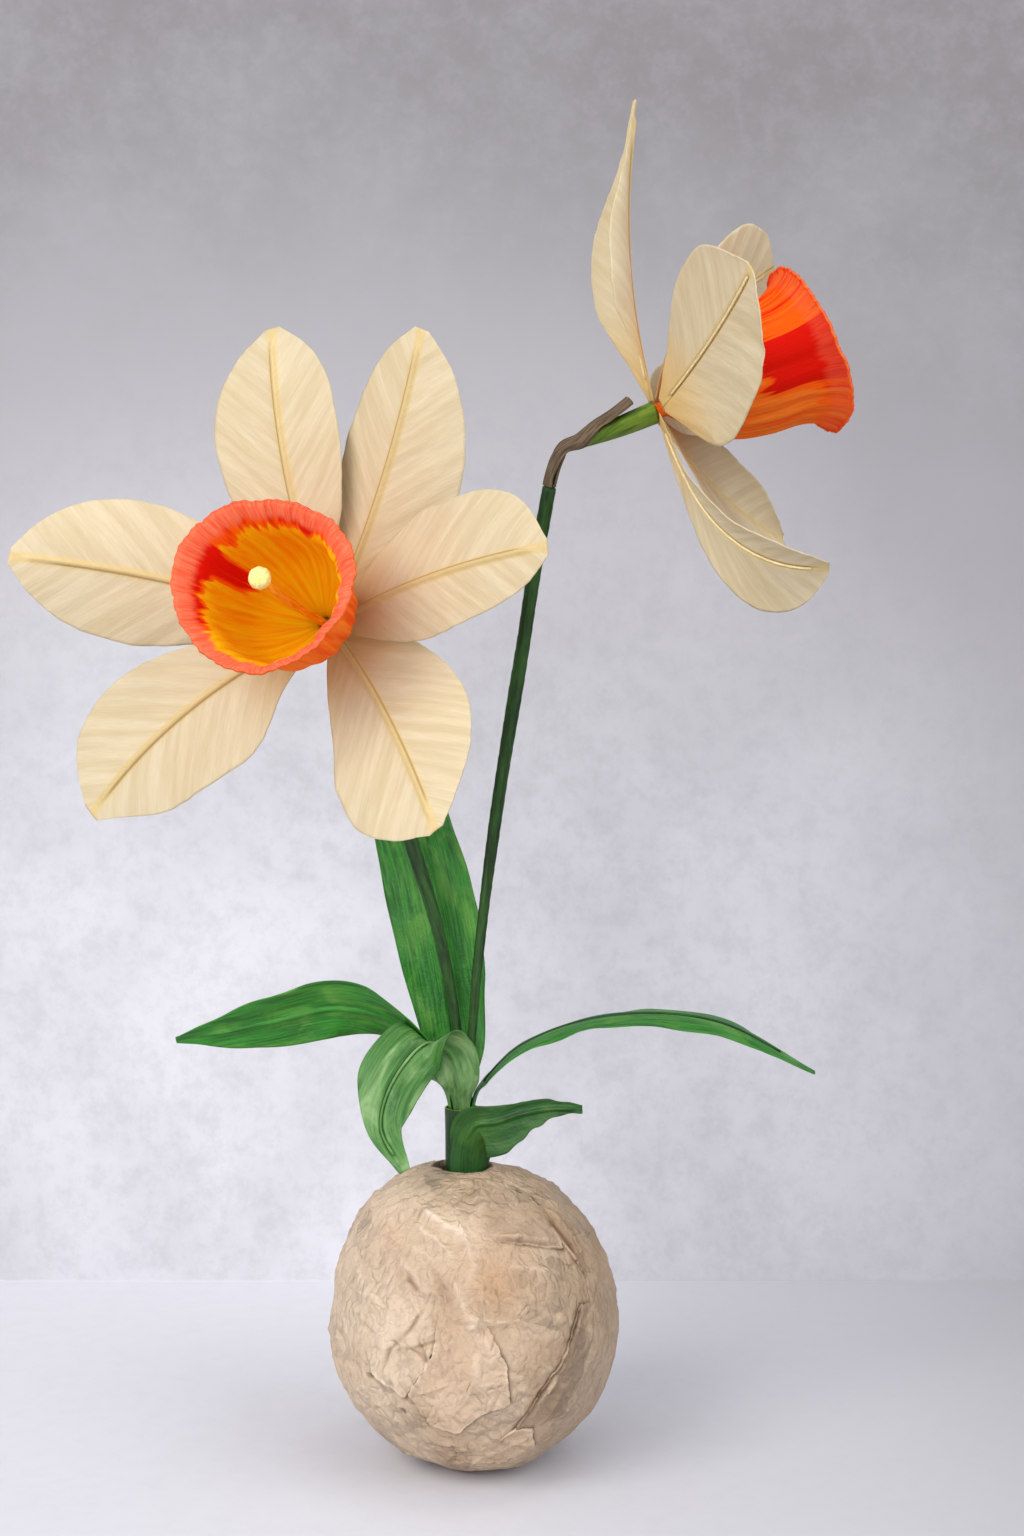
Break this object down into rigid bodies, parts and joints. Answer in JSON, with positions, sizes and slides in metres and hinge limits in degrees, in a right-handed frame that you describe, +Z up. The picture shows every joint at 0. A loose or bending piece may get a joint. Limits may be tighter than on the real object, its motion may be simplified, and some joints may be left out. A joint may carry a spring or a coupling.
{
  "type": "paper flower",
  "caption": "Crepe-paper daffodil with wired cream petals, pleated orange trumpets and painted leaves, standing in a round bulb of crumpled kraft paper.",
  "frame": {"origin": "centre of the flat spot under the bulb, which rests on the table", "axes": "+Z up, +X to the right of the plant as pictured, +Y away from the viewer"},
  "size_m": [0.3237, 0.238, 0.5484],
  "materials": {
    "bulb_kraft": "brown kraft paper, wrapped, crumpled and glued in overlapping torn patches, matt",
    "sheath_paper": "green painted paper tube with a pale cut edge, slightly satin",
    "leaf_paper": "paper brushed with dark and light green paint, lengthwise streaks, low sheen",
    "leaf_wire": "florist wire wrapped in dark green paper tape, matt",
    "stem_tape": "wire core wrapped in dark green crepe tape, matt with fine turns",
    "spathe_paper": "thin papery grey-brown sleeve with lengthwise creases, matt",
    "ovary_paper": "olive green wrapped paper, matt",
    "petal_crepe": "cream crepe paper in two halves with diagonal grain, warmer near the base, slightly translucent",
    "petal_wire": "thin florist wire wrapped in cream paper, matt",
    "trumpet_crepe": "orange crepe with red brush streaks and a coral pleated rim, matt",
    "stalk_paper": "twisted orange-yellow paper, matt",
    "bead_paper": "pale yellow paper ball with a wrinkled skin, matt"
  },
  "bodies": {
    "root": {"bulb": "bulb_kraft", "leaf_front": "leaf_paper", "leaf_front_wire": "leaf_wire", "leaf_left": "leaf_paper", "leaf_left_wire": "leaf_wire", "leaf_rear": "leaf_paper", "leaf_rear_wire": "leaf_wire", "leaf_right": "leaf_paper", "leaf_right_wire": "leaf_wire", "leaf_small": "leaf_paper", "leaf_small_wire": "leaf_wire", "ovary_left": "ovary_paper", "ovary_right": "ovary_paper", "petal_left_1": "petal_crepe", "petal_left_1_wire": "petal_wire", "petal_left_2": "petal_crepe", "petal_left_2_wire": "petal_wire", "petal_left_3": "petal_crepe", "petal_left_3_wire": "petal_wire", "petal_left_4": "petal_crepe", "petal_left_4_wire": "petal_wire", "petal_left_5": "petal_crepe", "petal_left_5_wire": "petal_wire", "petal_left_6": "petal_crepe", "petal_left_6_wire": "petal_wire", "petal_right_1": "petal_crepe", "petal_right_1_wire": "petal_wire", "petal_right_2": "petal_crepe", "petal_right_2_wire": "petal_wire", "petal_right_3": "petal_crepe", "petal_right_3_wire": "petal_wire", "petal_right_4": "petal_crepe", "petal_right_4_wire": "petal_wire", "petal_right_5": "petal_crepe", "petal_right_5_wire": "petal_wire", "petal_right_6": "petal_crepe", "petal_right_6_wire": "petal_wire", "pistil_bead_left": "bead_paper", "pistil_bead_right": "bead_paper", "pistil_stalk_left": "stalk_paper", "pistil_stalk_right": "stalk_paper", "sheath": "sheath_paper", "spathe_left": "spathe_paper", "spathe_right": "spathe_paper", "stem_left": "stem_tape", "stem_right": "stem_tape", "trumpet_left": "trumpet_crepe", "trumpet_right": "trumpet_crepe"}
  },
  "joints": []
}
